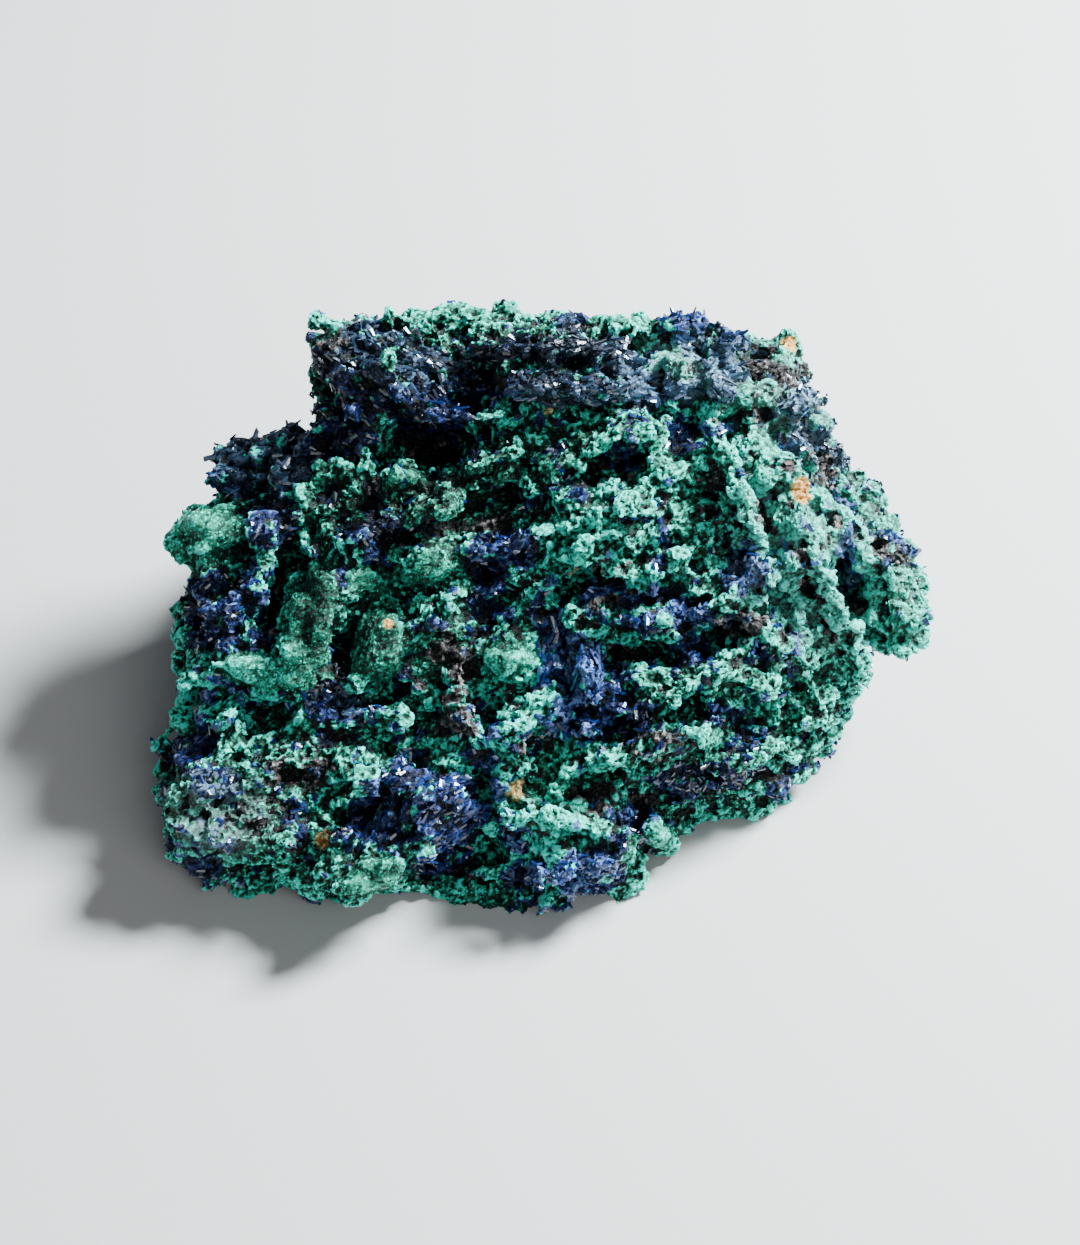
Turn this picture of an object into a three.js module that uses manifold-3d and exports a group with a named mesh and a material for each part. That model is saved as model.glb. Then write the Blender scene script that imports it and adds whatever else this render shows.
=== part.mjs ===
// Azurite and malachite specimen: one loose piece of vuggy copper ore, about 70 mm long.
// A blocky mass of dark matrix is overgrown by knobs, ledges and ribs of malachite and by sprays
// of azurite blades, with clefts and vugs between them. It grew as one piece, so it is one solid:
// everything is fused to the mass that it grows from.
// Millimetres, +Z up. The origin is on the surface that the specimen rests on, under its middle.
// -Y is the sloping front that shows the most mineral, +X is the right-hand end.
import * as THREE from "three";
import { ConvexGeometry } from "three/addons/geometries/ConvexGeometry.js";
import { ImprovedNoise } from "three/addons/math/ImprovedNoise.js";
import { MeshSurfaceSampler } from "three/addons/math/MeshSurfaceSampler.js";
import { mergeVertices } from "three/addons/utils/BufferGeometryUtils.js";
import Module from "manifold-3d";

// ---- Driving dimensions ----
const FRONT_TILT = 50; // degrees: how far the direction that faces the sloping front is raised
const FRONT_CENTRE_HEIGHT = 14; // height of the point that the front's own coordinates start from
const SEED = 56;

const wasm = await Module();
wasm.setup();
const { clamp, degToRad, seededRandom } = THREE.MathUtils;
const noise = new ImprovedNoise();
seededRandom(SEED);
const between = (low, high) => low + (high - low) * seededRandom();

// The front's own directions: across, up the slope, and straight out of it.
const ACROSS = new THREE.Vector3(1, 0, 0);
const OUTWARD = new THREE.Vector3(0, -Math.cos(degToRad(FRONT_TILT)), Math.sin(degToRad(FRONT_TILT)));
const UP_SLOPE = new THREE.Vector3().crossVectors(OUTWARD, ACROSS);
const FRONT = new THREE.Matrix4().makeBasis(ACROSS, UP_SLOPE, OUTWARD);

// ---- From geometry to solid and back ----
function solidOf(geometry) {
  geometry.deleteAttribute("normal");
  geometry.deleteAttribute("uv");
  const merged = mergeVertices(geometry, 1e-4);
  const vertProperties = merged.attributes.position.array;
  const triVerts = new Uint32Array(merged.index.array);
  return new wasm.Manifold(new wasm.Mesh({ numProp: 3, vertProperties, triVerts }));
}

function geometryOf(solid) {
  const { vertProperties, triVerts } = solid.getMesh();
  const geometry = new THREE.BufferGeometry();
  geometry.setAttribute("position", new THREE.BufferAttribute(vertProperties, 3));
  geometry.setIndex(new THREE.BufferAttribute(triVerts, 1));
  geometry.computeVertexNormals();
  return geometry;
}

// ---- The mass: a block broken along these faces, each with its outward normal and a point on it ----
const MIDDLE = new THREE.Vector3(0, 5, 11);
const BREAKS = {
  plateau:         { normal: [0.06, -0.06, 1], through: [0, 16, 31.6] },
  front_slope:     { normal: [-0.02, -0.64, 0.77], through: [0, -6, 17.6] },
  front_foot:      { normal: [-0.04, -1, 0.1], through: [-10, -19.5, 6] },
  right_slope:     { normal: [0.68, -0.05, 0.73], through: [25, 12, 24.8] },
  right_front:     { normal: [0.62, -0.78, 0.1], through: [20.5, -7, 8] },
  right_end:       { normal: [0.93, -0.3, 0.2], through: [32, 6, 9] },
  right_underside: { normal: [0.6, -0.3, -0.75], through: [31, 3, 3.5] },
  back:            { normal: [0, 1, 0.08], through: [0, 23, 14] },
  back_right:      { normal: [0.66, 0.74, 0.1], through: [27, 19, 12] },
  back_left:       { normal: [-0.62, 0.78, 0.1], through: [-24, 18, 14] },
  back_underside:  { normal: [0, 0.7, -0.7], through: [0, 21, 2] },
  left_crown:      { normal: [-0.85, 0, 0.52], through: [-24, 6, 23] },
  left_end:        { normal: [-1, -0.05, 0.1], through: [-30.5, -6, 9] },
  left_front:      { normal: [-0.66, -0.74, 0.1], through: [-29.5, -16, 5] },
  underside:       { normal: [0.02, 0, -1], through: [0, 0, -0.6] },
};
const EDGE_SHARPNESS = 18; // how tightly the mass turns from one break to the next
const EVENING = new THREE.Vector3(1.3, 1, 0.85); // spreads the facets evenly over a long mass
const MASS_FACETS = 6;
const SWELLS = [{ spacing: 14, height: 2.6 }, { spacing: 7, height: 2.6 }, { spacing: 4, height: 1.6 }];

function massReach(direction) {
  let sum = 0;
  for (const { normal, through } of Object.values(BREAKS)) {
    const outward = new THREE.Vector3(...normal).normalize();
    const distance = outward.dot(new THREE.Vector3(...through).sub(MIDDLE));
    sum += Math.max(0, outward.dot(direction) / distance) ** EDGE_SHARPNESS;
  }
  return sum ** (-1 / EDGE_SHARPNESS);
}

function swell(at) {
  let height = 0;
  for (const { spacing, height: most } of SWELLS) {
    height += most * noise.noise(at.x / spacing + 5, at.y / spacing + 9, at.z / spacing + 3);
  }
  return height;
}

function makeMass() {
  const geometry = new THREE.IcosahedronGeometry(1, MASS_FACETS);
  const places = geometry.attributes.position;
  const point = new THREE.Vector3();
  for (let i = 0; i < places.count; i++) {
    point.fromBufferAttribute(places, i).multiply(EVENING).normalize();
    point.multiplyScalar(massReach(point));
    point.setLength(point.length() + swell(point)).add(MIDDLE);
    places.setXYZ(i, ...point.toArray());
  }
  return solidOf(geometry);
}

// ---- One craggy lump: the hull of scattered corners of a rounded block, full size [x, y, z] ----
function crag(size, placing, { corners = 18, blocky = 3, uneven = 0.16 } = {}) {
  const half = new THREE.Vector3(...size).multiplyScalar(0.5);
  const points = [];
  const golden = Math.PI * (3 - Math.sqrt(5));
  for (let i = 0; i < corners; i++) {
    const z = 1 - (2 * i + 1) / corners + between(-0.15, 0.15);
    const turn = i * golden + between(-0.45, 0.45);
    const rim = Math.sqrt(Math.max(0, 1 - z * z));
    const point = new THREE.Vector3(rim * Math.cos(turn), rim * Math.sin(turn), clamp(z, -1, 1));
    const reach = point.toArray().reduce((sum, c) => sum + Math.abs(c) ** blocky, 0) ** (-1 / blocky);
    point.multiplyScalar(reach * (1 + uneven * between(-1, 1))).multiply(half);
    points.push(point.applyMatrix4(placing));
  }
  return solidOf(new ConvexGeometry(points));
}

// ---- Blocks that stand out of the mass: centre and full size, turned about Z in degrees ----
const BLOCKS = {
  crown_left:   { at: [-14.8, 17.4, 27.2], size: [14, 13, 12.5], turn: 0 },
  crown_right:  { at: [1, 17.4, 28], size: [20, 13, 11.5], turn: -4 },
  upper_right:  { at: [17.6, 17.2, 24.6], size: [17, 15, 12.5], turn: -8 },
  right_end:    { at: [27.4, 9, 12.6], size: [15, 18, 12.4], turn: 12 },
  lower_right:  { at: [20.4, -5.4, 5.2], size: [15, 12.4, 9], turn: 24 },
  right_bulge:  { at: [11, 0, 15], size: [18, 17, 13], turn: 20 },
  front_right:  { at: [3, -16.5, 4.4], size: [13, 12, 10.4], turn: 0 },
  front_left:   { at: [-16, -17, 4.4], size: [15, 12, 9.6], turn: 8 },
  left_foot:    { at: [-28, -13.4, 5.6], size: [13.4, 16, 11.6], turn: 10 },
  left_column:  { at: [-27.8, 0.5, 12.5], size: [10.6, 15, 14], turn: 0 },
  left_arm:     { at: [-24.5, 11.5, 20.5], size: [11.4, 9, 7.5], turn: 10 },
  knob:         { at: [-29, 6, 19], size: [9.4, 6.4, 5.8], turn: 0 },
  back_left:    { at: [-14, 19, 11], size: [18, 11, 15], turn: -16 },
  back_right:   { at: [13, 19, 13], size: [22, 11, 16], turn: 12 },
};

function makeBlock({ at, size, turn }) {
  const placing = new THREE.Matrix4().makeRotationZ(degToRad(turn)).setPosition(...at);
  return crag(size, placing, { corners: 24, blocky: 4, uneven: 0.08 });
}

// ---- Ledges, ribs and knobs of the front, given across and up from its middle as
// [long, wide, proud], with the lean of the long way in degrees ----
const GROWTHS = {
  // crown: dark ledges along the plateau's brow
  brow_ledge:      { x: 1, u: 24.4, size: [12, 2.4, 3.4], lean: 0 },
  lower_brow:      { x: 3, u: 21, size: [13, 3.2, 4.4], lean: -4 },
  brow_end:        { x: 13.5, u: 22.5, size: [8, 4, 3], lean: -18 },
  crown_shoulder:  { x: -13, u: 21.6, size: [9, 4, 4], lean: -25 },
  crown_corner:    { x: -18.6, u: 24.4, size: [5, 6, 4], lean: 10 },
  // left flank: the knob, and shelves down to the left foot
  knob_crust:      { x: -29.6, u: 8.4, size: [6, 3.6, 3], lean: 4 },
  knob_neck:       { x: -25, u: 9, size: [6, 5, 7], lean: 20 },
  column_top:      { x: -28, u: 1.6, size: [8, 5, 5], lean: 30 },
  column_shelf:    { x: -27, u: -4, size: [11, 3.6, 5], lean: 12 },
  left_step:       { x: -28.6, u: -9, size: [7, 5, 4.4], lean: 30 },
  left_foot_top:   { x: -29.4, u: -15, size: [7, 6, 4], lean: -20 },
  left_foot_mid:   { x: -23.6, u: -18.4, size: [7, 6, 4.4], lean: 40 },
  left_hollow_rim: { x: -21.6, u: -12, size: [7, 4.6, 4], lean: 0 },
  foot_step:       { x: -17.8, u: -19.6, size: [6, 5, 4.4], lean: 60 },
  // middle: ledges that climb to the right, with the strap and the flap below them
  flake:           { x: -12.6, u: 13.2, size: [3.8, 2.4, 5], lean: 25 },
  upper_ledge:     { x: -3.5, u: 14.6, size: [8, 3.6, 4], lean: 22 },
  climbing_ledge:  { x: -9, u: 9.8, size: [12, 2.6, 5], lean: 14 },
  second_ledge:    { x: -7, u: 6, size: [13, 2.8, 4.6], lean: 10 },
  strap_head:      { x: -16.6, u: 7, size: [8, 3.4, 5], lean: 20 },
  strap:           { x: -19, u: 0, size: [13, 4.4, 6], lean: 78 },
  flap:            { x: -14.2, u: -1.8, size: [9.5, 4.8, 6], lean: 62 },
  inner_ledge:     { x: -9.4, u: 0.6, size: [7, 5, 4], lean: 20 },
  hanging_rib:     { x: -7.6, u: -6, size: [10, 4.6, 5], lean: -70 },
  nodule:          { x: -2.9, u: -3.4, size: [5, 3.8, 6], lean: 0 },
  lower_ledge:     { x: 0.4, u: -8, size: [9.4, 3.2, 5], lean: 16 },
  slanting_rib:    { x: 5, u: -6, size: [9, 4.6, 4.6], lean: -60 },
  flap_foot:       { x: -14, u: -8.6, size: [6, 4.6, 4], lean: 30 },
  // foot: the big hump with its rims
  hump:            { x: -11, u: -16.6, size: [11, 9, 6.5], lean: -20 },
  hump_rim:        { x: -3.2, u: -12, size: [10, 3.4, 5], lean: -24 },
  foot_ledge:      { x: 0.6, u: -17.6, size: [8, 4, 5], lean: 0 },
  foot_nub:        { x: 5, u: -21.6, size: [6, 4.4, 4], lean: 12 },
  lip:             { x: -15.4, u: -22.2, size: [8, 3.6, 4], lean: 16 },
  ball:            { x: 10.7, u: -19, size: [2.6, 2.6, 7], lean: 0 },
  // right bulge: rims that climb to the right
  top_rim:         { x: 9, u: 11, size: [13, 3, 5], lean: 18 },
  second_rim:      { x: 5.4, u: 7, size: [8, 4, 4.4], lean: 26 },
  third_rim:       { x: 11.6, u: 5.6, size: [10, 3.4, 4.6], lean: 12 },
  left_rim:        { x: 4, u: 1, size: [9, 2.8, 4.6], lean: 12 },
  middle_rim:      { x: 10, u: -0.2, size: [9, 3.2, 5.6], lean: 4 },
  right_rim:       { x: 16.6, u: 1.6, size: [6, 4, 4], lean: 30 },
  lower_rim:       { x: 12.6, u: -5, size: [10, 3, 4.6], lean: 14 },
  shoulder:        { x: 19, u: -5, size: [7, 4.4, 4], lean: -40 },
  under_rim:       { x: 10, u: -11, size: [11.5, 3.4, 4.6], lean: 18 },
  edge_rim:        { x: 18, u: -12.6, size: [12, 3, 5], lean: 13 },
  edge_end:        { x: 24.6, u: -7.4, size: [5.4, 5, 4], lean: 40 },
  low_edge:        { x: 13, u: -16, size: [8, 3, 4], lean: 10 },
  // right end: ribs that fall away from the plateau
  first_rib:       { x: 18, u: 9.6, size: [17, 3, 5], lean: -72 },
  second_rib:      { x: 23.4, u: 9, size: [14, 3, 4.6], lean: -74 },
  third_rib:       { x: 26.6, u: 2.4, size: [13, 3.2, 4.6], lean: -66 },
  outer_rib:       { x: 30.6, u: 5.6, size: [9, 3.6, 4], lean: -60 },
  end_flake:       { x: 32.6, u: 0.2, size: [6, 3, 5], lean: 0 },
  top_right_nub:   { x: 19, u: 19, size: [7, 4.6, 4], lean: -10 },
  ridge_head:      { x: 7.6, u: 17, size: [9, 4.4, 4], lean: 12 },
};

// Clefts and vugs of the front, given in the same way as [long, wide, deep].
const HOLLOWS = {
  tall_cleft:      { x: -22.8, u: 3.4, size: [12, 3.4, 15], lean: 84 },
  strap_gap:       { x: -17, u: -1.4, size: [7.5, 2, 11], lean: 68 },
  under_crown:     { x: -9.8, u: 15.8, size: [12, 5, 12], lean: 10 },
  crown_gap:       { x: -6, u: 20.6, size: [6, 2.6, 9], lean: 80 },
  long_slot:       { x: -4.6, u: 10.8, size: [10, 2, 10], lean: 16 },
  upper_slot:      { x: 7, u: 14, size: [7.4, 2, 9], lean: 14 },
  middle_slot:     { x: 4.6, u: 3.6, size: [8, 1.8, 9], lean: 12 },
  cavern:          { x: 9, u: -3, size: [8, 2.2, 11], lean: 0 },
  under_flap:      { x: -14.8, u: -6.4, size: [8, 2.6, 10], lean: 20 },
  front_recess:    { x: -6.6, u: -20.8, size: [7, 3.4, 8], lean: 14 },
  beside_hump:     { x: -5.4, u: -14.4, size: [3.6, 3, 8], lean: 40 },
  groove:          { x: 20.8, u: 4, size: [11, 1.9, 8], lean: -70 },
  end_groove:      { x: 28.6, u: 4, size: [9, 1.8, 7], lean: -64 },
  right_cavern:    { x: 15.4, u: -2, size: [5.4, 2.2, 9], lean: 40 },
  below_shoulder:  { x: 13.6, u: -8, size: [7, 2, 8], lean: 15 },
  hanging_gap:     { x: -4.4, u: -8.4, size: [4, 2.6, 8], lean: -60 },
  step_gap:        { x: -24.6, u: -8, size: [6, 2.2, 8], lean: 10 },
  inner_gap:       { x: -11.4, u: 3.2, size: [7, 1.8, 8], lean: 14 },
};

// ---- Seating on the front: a ray straight into it finds the surface ----
const ray = new THREE.Raycaster();
function frontPlacing(mesh, { x, u, lean }, sink) {
  const start = new THREE.Vector3(0, 0, FRONT_CENTRE_HEIGHT);
  start.addScaledVector(ACROSS, x).addScaledVector(UP_SLOPE, u).addScaledVector(OUTWARD, 90);
  ray.set(start, OUTWARD.clone().negate());
  const [hit] = ray.intersectObject(mesh);
  const placing = FRONT.clone().multiply(new THREE.Matrix4().makeRotationZ(degToRad(lean)));
  return placing.setPosition(hit.point.addScaledVector(OUTWARD, -sink));
}

function meshOf(solid) {
  const mesh = new THREE.Mesh(geometryOf(solid));
  mesh.material.side = THREE.DoubleSide;
  return mesh;
}

const body = wasm.Manifold.union([makeMass(), ...Object.values(BLOCKS).map(makeBlock)]);
const bodyMesh = meshOf(body);

const growths = Object.values(GROWTHS).map((growth) => {
  const [long, wide, proud] = growth.size;
  return crag([long, wide, proud * 1.6], frontPlacing(bodyMesh, growth, proud * 0.2), { corners: 13 });
});

// ---- The hidden sides: crags and pits scattered over the back, the ends and the underside ----
const HIDDEN_CRAGS = 30;
const HIDDEN_PITS = 12;

function scatteredPlacings(count, mesh, sink) {
  const sampler = new MeshSurfaceSampler(new THREE.Mesh(mesh.geometry.toNonIndexed()));
  sampler.setRandomGenerator(seededRandom).build();
  const at = new THREE.Vector3();
  const normal = new THREE.Vector3();
  const upright = new THREE.Quaternion();
  return Array.from({ length: count }, () => {
    do {
      sampler.sample(at, normal);
    } while (normal.dot(OUTWARD) > 0.45);
    upright.setFromUnitVectors(new THREE.Vector3(0, 0, 1), normal);
    const turn = new THREE.Matrix4().makeRotationZ(between(0, Math.PI));
    const placing = new THREE.Matrix4().makeRotationFromQuaternion(upright).multiply(turn);
    return placing.setPosition(at.addScaledVector(normal, -sink));
  });
}

const hiddenCrags = scatteredPlacings(HIDDEN_CRAGS, bodyMesh, 0.8).map((placing) => {
  return crag([between(6, 12), between(4.4, 7), between(3, 5)], placing, { corners: 12 });
});
const crusted = wasm.Manifold.union([body, ...growths, ...hiddenCrags]);
const crustedMesh = meshOf(crusted);

const hollows = Object.values(HOLLOWS).map((hollow) => {
  const placing = frontPlacing(crustedMesh, hollow, hollow.size[2] * 0.15);
  return crag(hollow.size, placing, { corners: 12, uneven: 0.1 });
});
const hiddenPits = scatteredPlacings(HIDDEN_PITS, crustedMesh, 0.3).map((placing) => {
  return crag([between(3, 7), between(1.8, 3), between(4, 7)], placing, { corners: 10, uneven: 0.1 });
});

// ---- Azurite: sprays of stout flat-sided blades, placed on the front, with their reach ----
const SPRAYS = [
  // crown and its brow
  { x: -17, u: 22, reach: 4.4 }, { x: -12.6, u: 24, reach: 4.4 }, { x: -10.6, u: 20, reach: 4.6 },
  { x: -15, u: 18.4, reach: 4 }, { x: 5, u: 22.6, reach: 3.6 }, { x: 15, u: 22, reach: 3.4 },
  // left arm, left column and left foot
  { x: -25.6, u: 14, reach: 4 }, { x: -22.6, u: 8.4, reach: 3.6 }, { x: -27.6, u: 1.4, reach: 4 },
  { x: -30, u: -20.6, reach: 3.4 },
  // hump and foot
  { x: -13, u: -14, reach: 4.2 }, { x: -9.4, u: -17, reach: 4.4 }, { x: -13.4, u: -19, reach: 4 },
  { x: 1, u: -22, reach: 3.4 },
  // middle and right
  { x: -3, u: 6.4, reach: 3.6 }, { x: 4.6, u: -5.4, reach: 4 }, { x: 2.4, u: -9.4, reach: 3.6 },
  { x: 15.6, u: 1.6, reach: 3.4 }, { x: 20, u: 4, reach: 3.4 }, { x: 15, u: -14, reach: 3.4 },
];
const BLADES_PER_SPRAY = 2;
const FAN = 55; // degrees that a spray's blades lean from straight out

// A stout blade with five flat sides and a flat end, its foot sunk in what it grows from.
function makeBlade(placing, reach, turn) {
  const long = reach * between(0.95, 1.25);
  const wide = reach * between(0.3, 0.38);
  const blade = new THREE.CylinderGeometry(wide * 0.62, wide, long, 5);
  blade.scale(1, 1, 0.62).translate(0, long * 0.22, 0);
  const lean = new THREE.Matrix4().makeRotationX(degToRad(90 - FAN * between(0.7, 1)));
  const about = new THREE.Matrix4().makeRotationZ(degToRad(turn));
  blade.applyMatrix4(lean).applyMatrix4(about).applyMatrix4(placing);
  return solidOf(blade);
}

const blades = SPRAYS.flatMap(({ x, u, reach }) => {
  const placing = frontPlacing(crustedMesh, { x, u, lean: 0 }, 0.5);
  const first = between(0, 360);
  return Array.from({ length: BLADES_PER_SPRAY }, (_, i) => makeBlade(placing, reach, first + i * 130));
});

// ---- The specimen: everything fused, the vugs cut, and a flat broken face to rest on ----
const open = wasm.Manifold.difference([crusted, ...hollows, ...hiddenPits]);
const below = new THREE.BoxGeometry(200, 200, 40).translate(0, 0, -20);
const rock = wasm.Manifold.union([open, ...blades]).subtract(solidOf(below));

const geometry = geometryOf(rock);
geometry.computeBoundingBox();
const centre = geometry.boundingBox.getCenter(new THREE.Vector3());
geometry.translate(-centre.x, -centre.y, 0);

const group = new THREE.Group();
const material = new THREE.MeshStandardMaterial({ color: 0x2f8f6c, roughness: 0.85, metalness: 0 });
const mesh = new THREE.Mesh(geometry, material);
mesh.name = "azurite_malachite_specimen";
group.add(mesh);

export default group;
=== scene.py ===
import math
import bmesh
import bpy
import numpy as np
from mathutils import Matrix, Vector, noise
from mathutils.bvhtree import BVHTree
from mathutils.kdtree import KDTree


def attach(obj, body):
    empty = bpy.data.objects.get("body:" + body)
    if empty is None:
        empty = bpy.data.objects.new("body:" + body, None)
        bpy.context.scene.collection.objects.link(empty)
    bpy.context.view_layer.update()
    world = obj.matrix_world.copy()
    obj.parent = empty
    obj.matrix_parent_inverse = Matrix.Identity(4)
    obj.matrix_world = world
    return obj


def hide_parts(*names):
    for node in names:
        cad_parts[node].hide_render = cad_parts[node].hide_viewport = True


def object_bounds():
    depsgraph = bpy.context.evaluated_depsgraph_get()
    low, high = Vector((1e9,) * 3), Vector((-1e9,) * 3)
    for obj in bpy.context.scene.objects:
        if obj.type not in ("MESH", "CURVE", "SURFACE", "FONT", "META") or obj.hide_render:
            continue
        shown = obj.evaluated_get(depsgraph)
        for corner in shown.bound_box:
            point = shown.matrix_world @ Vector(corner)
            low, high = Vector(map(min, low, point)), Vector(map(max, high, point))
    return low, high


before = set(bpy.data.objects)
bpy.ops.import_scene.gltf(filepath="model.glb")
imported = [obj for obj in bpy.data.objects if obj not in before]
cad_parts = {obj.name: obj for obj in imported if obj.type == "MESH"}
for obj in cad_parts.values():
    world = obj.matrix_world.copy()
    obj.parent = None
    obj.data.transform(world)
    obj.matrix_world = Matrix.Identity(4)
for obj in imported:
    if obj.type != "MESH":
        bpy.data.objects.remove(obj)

cad_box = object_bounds()
MM = 0.001

# ---------------------------------------------------------------- camera, light and floor
# The specimen lies on a plain pale floor and is seen from half above, with its sloping front
# towards the camera. One cool window light comes from the back right, a weak one fills in front.
CAMERA_DISTANCE = 260    # in mm
aim = Vector((-0.44, -0.35, 14)) * MM
look_down = math.radians(50)
to_camera = Vector((0, -math.cos(look_down), math.sin(look_down)))
image_up = Vector((0, math.sin(look_down), math.cos(look_down)))
camera = bpy.data.objects.new("camera", bpy.data.cameras.new("camera"))
bpy.context.collection.objects.link(camera)
camera.location = aim + to_camera * CAMERA_DISTANCE * MM
camera.rotation_euler = (math.radians(90) - look_down, 0, 0)
camera.data.lens = 82.7
camera.data.clip_start = 0.01
bpy.context.scene.camera = camera


def area_light(name, place, size, power, colour):
    light = bpy.data.lights.new(name, "AREA")
    light.shape = "DISK"
    light.size = size
    light.energy = power
    light.color = colour
    lamp = bpy.data.objects.new(name, light)
    bpy.context.collection.objects.link(lamp)
    lamp.location = place
    lamp.rotation_euler = (aim - Vector(place)).to_track_quat("-Z", "Y").to_euler()


area_light("window_light", (0.27, 0.14, 0.3), 0.13, 14.5, (0.86, 0.96, 1.0))
area_light("front_fill", (0.25, -0.5, 0.5), 0.5, 2.0, (0.95, 0.98, 1.0))

world = bpy.data.worlds.new("studio")
world.use_nodes = True
world.node_tree.nodes["Background"].inputs["Color"].default_value = (0.85, 0.9, 1.0, 1)
world.node_tree.nodes["Background"].inputs["Strength"].default_value = 0.17
bpy.context.scene.world = world

floor_mesh = bmesh.new()
bmesh.ops.create_grid(floor_mesh, x_segments=1, y_segments=1, size=1.5)
floor = bpy.data.objects.new("floor", bpy.data.meshes.new("floor"))
floor_mesh.to_mesh(floor.data)
floor_mesh.free()
bpy.context.collection.objects.link(floor)
floor_paint = bpy.data.materials.new("pale_floor")
floor_paint.use_nodes = True
floor_paint.node_tree.nodes["Principled BSDF"].inputs["Base Color"].default_value = (0.5, 0.49, 0.48, 1)
floor_paint.node_tree.nodes["Principled BSDF"].inputs["Roughness"].default_value = 0.8
floor.data.materials.append(floor_paint)


# ---------------------------------------------------------------- grown minerals
# One mass of rusty brown-black porous rock under a crust of green malachite and blue azurite.
# Copper-bearing water left the crust on the rock's broken faces and in its clefts, as nodules,
# ribs, thin sheets and grains.
class Wire:
    """A shader value that Python's own operators work on."""

    def __init__(self, tree, socket):
        self.tree = tree
        self.socket = socket

    def node(self, kind, settings=None, sockets=None, output=0):
        made = self.tree.nodes.new(kind)
        for name, value in (settings or {}).items():
            if name == "stops":
                ramp = made.color_ramp.elements
                while len(ramp) < len(value):
                    ramp.new(0.5)
                for stop, (place, colour) in zip(ramp, value):
                    stop.position = place
                    stop.color = (*colour, 1)
            else:
                setattr(made, name, value)
        for name, value in (sockets or {}).items():
            if isinstance(value, Wire):
                self.tree.links.new(value.socket, made.inputs[name])
            elif isinstance(value, tuple) and made.inputs[name].type == "RGBA":
                made.inputs[name].default_value = (*value, 1)
            else:
                made.inputs[name].default_value = value
        return Wire(self.tree, made.outputs[output])

    def math(self, operation, first, second):
        return self.node("ShaderNodeMath", {"operation": operation}, {0: first, 1: second})

    def __add__(self, other):
        return self.math("ADD", self, other)

    def __sub__(self, other):
        return self.math("SUBTRACT", self, other)

    def __rsub__(self, other):
        return self.math("SUBTRACT", other, self)

    def __mul__(self, other):
        return self.math("MULTIPLY", self, other)

    def __rmul__(self, other):
        return self.math("MULTIPLY", other, self)

    def between(self, low, high):
        """0 below low, 1 above high, smooth in between."""
        return self.node("ShaderNodeMapRange", {"interpolation_type": "SMOOTHSTEP"},
                         {"Value": self, "From Min": low, "From Max": high})

    def mix(self, first, second):
        """The first colour where this value is 0, the second where it is 1."""
        return self.node("ShaderNodeMix", {"data_type": "RGBA"}, {0: self, 6: first, 7: second}, 2)

    def ramp(self, *stops):
        return self.node("ShaderNodeValToRGB", {"stops": stops}, {"Fac": self})

    def plug(self, shader, name):
        self.tree.links.new(self.socket, shader.inputs[name])


def new_material(name):
    """A material, the wire of its Object coordinates, and its Principled shader."""
    material = bpy.data.materials.new(name)
    material.use_nodes = True
    place = Wire(material.node_tree, None).node("ShaderNodeTexCoord", output="Object")
    return material, place, material.node_tree.nodes["Principled BSDF"]


def grain(place, size, detail=3.0, roughness=0.6):
    """Noise with features of about this size in millimetres, from 0 to 1."""
    sockets = {"Vector": place, "Scale": 1 / (size * MM), "Detail": detail, "Roughness": roughness}
    return place.node("ShaderNodeTexNoise", {"noise_dimensions": "3D"}, sockets)


def facets(place, size):
    """Grains of this size in millimetres: each one's chance, and a height that tilts it its own way."""
    fineness = 1 / (size * MM)
    sockets = {"Vector": place, "Scale": fineness}
    scaled = place.node("ShaderNodeVectorMath", {"operation": "SCALE"}, {0: place, "Scale": fineness})
    colour = place.node("ShaderNodeTexVoronoi", None, sockets, "Color")
    middle = place.node("ShaderNodeTexVoronoi", None, sockets, "Position")
    middle = place.node("ShaderNodeVectorMath", {"operation": "SCALE"}, {0: middle, "Scale": fineness})
    away = place.node("ShaderNodeVectorMath", {"operation": "SUBTRACT"}, {0: scaled, 1: middle})
    way = place.node("ShaderNodeVectorMath", {"operation": "SUBTRACT"}, {0: colour, 1: (0.5, 0.5, 0.5)})
    tilt = place.node("ShaderNodeVectorMath", {"operation": "DOT_PRODUCT"}, {0: away, 1: way}, "Value")
    chance = place.node("ShaderNodeSeparateColor", None, {"Color": colour}, "Green")
    return chance, tilt


def bumped(height, relief):
    """A bumped normal, with relief in millimetres for a height from 0 to 1."""
    sockets = {"Height": height, "Strength": 1.0, "Distance": relief * MM}
    return height.node("ShaderNodeBump", None, sockets)


def attribute(place, name):
    """A value that was worked out for each vertex of the mesh."""
    return place.node("ShaderNodeAttribute", {"attribute_name": name}, None, "Fac")


workpiece = bpy.data.objects.new("workpiece", bpy.data.meshes.new("workpiece"))
bpy.context.collection.objects.link(workpiece)


def remeshed(mesh, voxel):
    """One closed skin around everything in the mesh, with faces of about this size in mm."""
    workpiece.data = mesh
    remesh = workpiece.modifiers.new("remesh", "REMESH")
    remesh.mode = "VOXEL"
    remesh.voxel_size = voxel * MM
    bpy.context.view_layer.update()
    graph = bpy.context.evaluated_depsgraph_get()
    result = bpy.data.meshes.new_from_object(workpiece.evaluated_get(graph))
    workpiece.modifiers.clear()
    result.shade_smooth()
    return result


def places_of(mesh, what="co"):
    values = np.empty(len(mesh.vertices) * 3, np.float32)
    mesh.vertices.foreach_get(what, values)
    return values.reshape(-1, 3).astype(float)


FRONT_REACH = 0.9        # how far the skin may stand out past the solid's front, in mm


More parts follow.
